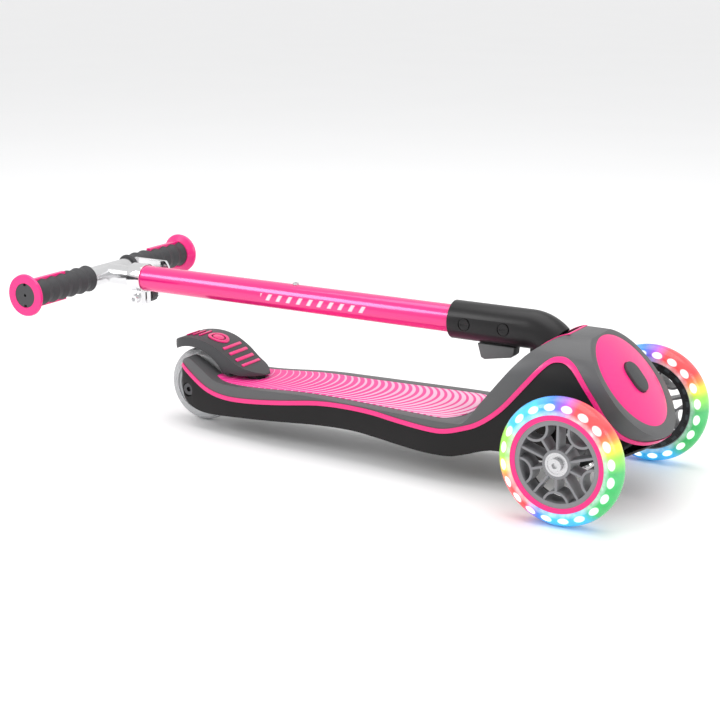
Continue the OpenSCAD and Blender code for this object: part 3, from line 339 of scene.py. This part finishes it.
lamps_right = lamp_ring("lamp_ring_right", wheel_centre["right"])
lamps_left = lamp_ring("lamp_ring_left", wheel_centre["left"])


def plain_tyre(name, centre):
    g = Graph(name)
    x, y, z = g.parts(g.place(centre))
    radius = (x * x + z * z).math("SQRT")
    swirl = g.noise(g.place(centre), 40.0, 4.0)
    dust = radius.band(0.0375, 0.05, 0.002) * swirl
    base = g.mix(swirl, (0.50, 0.51, 0.52), (0.66, 0.67, 0.68))
    worn = g.mix(dust * 0.4, base, (0.36, 0.36, 0.36))
    return g.finish(Base_Color=worn, Roughness=dust * 0.2 + swirl * 0.1 + 0.18,
                    Transmission_Weight=0.45, IOR=1.48, Normal=g.bump(swirl, 0.04, 0.0004))


rear_tyre_look = plain_tyre("cast_rear_tyre", wheel_centre["rear"])

# %% [markdown]
# Real edges are never knife sharp: a mould or a cutter leaves a small round that catches the light.
# The engineering model's faces are exact but its edges are sharp, so most pieces start as a copy of
# their node, with the loose triangles merged, and get a small bevel on every sharp edge.

# %% Copies with rounded edges
bpy.ops.object.select_all(action="DESELECT")


def only(obj):
    bpy.ops.object.select_all(action="DESELECT")
    obj.select_set(True)
    bpy.context.view_layer.objects.active = obj


def merged_copy(node, name):
    obj = bpy.data.objects.new(name, frame["nodes"][node].data.copy())
    bpy.context.scene.collection.objects.link(obj)
    only(obj)
    bpy.ops.object.mode_set(mode="EDIT")
    bpy.ops.mesh.select_all(action="SELECT")
    bpy.ops.mesh.remove_doubles(threshold=0.000002)
    bpy.ops.mesh.dissolve_limited(angle_limit=math.radians(0.5))
    bpy.ops.object.mode_set(mode="OBJECT")
    return obj


def bevel(obj, width, segments):
    only(obj)
    round_edge = obj.modifiers.new("round", "BEVEL")
    round_edge.width = width
    round_edge.segments = segments
    round_edge.limit_method = "ANGLE"
    round_edge.angle_limit = math.radians(32)
    round_edge.miter_outer = "MITER_ARC"
    bpy.ops.object.modifier_apply(modifier="round")


def rounded(node, body, material, width, segments):
    obj = merged_copy(node, "smooth_" + node)
    bevel(obj, width, segments)
    obj.data.materials.clear()
    obj.data.materials.append(material)
    bpy.ops.object.shade_smooth_by_angle(angle=math.radians(35))
    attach(obj, body)
    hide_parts(node)


# %% [markdown]
# The deck is two moulded shells with a bright strip where they meet. The widths here are the radii
# of the rounds in metres: a foot rests on the brake, so its edges are the softest.

# %% Deck, nose and brake
rounded("deck_top", "chassis", grey_shell, 0.0012, 3)
rounded("deck_bottom", "chassis", black_shell, 0.0014, 3)
rounded("deck_trim", "chassis", pink_gloss, 0.0008, 3)
rounded("deck_pad", "chassis", pad_rubber, 0.0008, 2)
rounded("nose_cap", "chassis", pink_gloss, 0.0010, 3)
rounded("neck_gasket", "chassis", pink_gloss, 0.0003, 2)
rounded("brake_fender", "brake", dark_plastic, 0.0026, 4)
rounded("brake_ribs", "brake", pink_gloss, 0.0005, 2)
rounded("lock_button", "lock_button", dark_plastic, 0.0009, 3)

# %% [markdown]
# The folding bar is metal, and cut or cast metal keeps tighter edges than a moulding does.

# %% Folding bar and handle
rounded("neck", "steering_bar", black_metal, 0.0008, 3)
rounded("neck_bolts", "steering_bar", black_metal, 0.0003, 2)
rounded("release_trigger", "fold_latch", trigger_grey, 0.0012, 3)
rounded("clamp_lever", "clamp_lever", chrome, 0.0010, 3)
rounded("clamp_nut", "steering_bar", dark_plastic, 0.0004, 2)
rounded("clamp_collar", "steering_bar", chrome, 0.0007, 3)

# %% [markdown]
# What already has its full shape, such as tubes, shafts and bearings, stays as the frame made it and
# only gets its finish.

# %% Finishes on the frame's own nodes
kept = {
    "outer_tube": pink_paint, "inner_tube": alloy_x, "crossbar": alloy_y, "clamp_bolt": chrome,
    "tube_bush": nylon, "slide_bush": nylon, "guide_screw": steel, "latch_bolt": steel,
    "grip_right": grip_rubber, "grip_left": grip_rubber, "grip_band_right": pink_gloss,
    "grip_band_left": pink_gloss, "grip_plugs": dark_plastic, "axle_beam": black_shell,
    "kingpins": steel, "hinge_bracket": black_metal, "fold_pin": steel, "deck_screws": steel,
    "rear_axle": dark_steel, "rear_nut": dark_steel, "brake_pin": steel, "brake_spring": steel,
    "tyre_right": tyre_right_look, "tyre_left": tyre_left_look, "rim_right": rim_grey,
    "rim_left": rim_grey, "ring_right": pink_gloss, "ring_left": pink_gloss,
    "light_ring_right": lamps_right, "light_ring_left": lamps_left, "bearings_right": steel,
    "bearings_left": steel, "spacer_right": steel, "spacer_left": steel, "axle_bolt_right": steel,
    "axle_bolt_left": steel, "knuckle_right": dark_plastic, "knuckle_left": dark_plastic,
    "tie_rod": steel, "rear_tyre": rear_tyre_look, "rear_rim": core_grey, "rear_bearings": steel,
    "rear_spacer": steel,
}
for node, material in kept.items():
    for holder in frame["nodes"][node].material_slots:
        holder.material = material
print("kept", len(kept), "nodes with new finishes")

# %% [markdown]
# A product stands on a plain pale floor in soft, even light: one wide lamp above, one on each side
# and a bright surround. The camera looks down on the scooter from its front right.

# %% Floor, light and camera
bpy.ops.mesh.primitive_plane_add(size=80, location=(0, 0, -0.0005))
floor = bpy.context.object
floor.name = "floor"
pale = Graph("pale_floor")
pale_base = pale.mix(pale.noise(pale.place(), 3.0), (0.90, 0.90, 0.905), (0.92, 0.92, 0.925))
floor.data.materials.append(pale.finish(Base_Color=pale_base, Roughness=0.45))

world = bpy.data.worlds.new("studio")
bpy.context.scene.world = world
world.use_nodes = True
world.node_tree.nodes["Background"].inputs[0].default_value = (1.0, 1.0, 1.0, 1.0)
world.node_tree.nodes["Background"].inputs[1].default_value = 0.92


def lamp(name, place, target, size, power):
    data = bpy.data.lights.new(name, "AREA")
    data.shape = "RECTANGLE"
    data.size, data.size_y = size
    data.energy = power
    obj = bpy.data.objects.new(name, data)
    bpy.context.scene.collection.objects.link(obj)
    obj.location = place
    obj.rotation_euler = (Vector(target) - Vector(place)).to_track_quat("-Z", "Y").to_euler()


lamp("overhead", (0.1, 0.2, 1.9), (0, 0, 0), (2.2, 1.6), 20)
lamp("key", (-1.3, -1.5, 1.4), (0, 0, 0.1), (0.9, 0.9), 16)
lamp("side", (1.9, -0.7, 0.9), (0.1, 0, 0.1), (0.8, 1.0), 9)

camera_data = bpy.data.cameras.new("view")
camera_data.sensor_width = 36
camera_data.lens = 82.5
camera = bpy.data.objects.new("view", camera_data)
bpy.context.scene.collection.objects.link(camera)
camera.location = front_axle + Vector((0.5590, -1.4057, 0.5221 - front_axle.z))
look = Vector((-0.4929, 0.8320, -0.2546))
camera.rotation_euler = look.to_track_quat("-Z", "Y").to_euler()
bpy.context.scene.camera = camera
bpy.context.scene.view_settings.view_transform = "Standard"
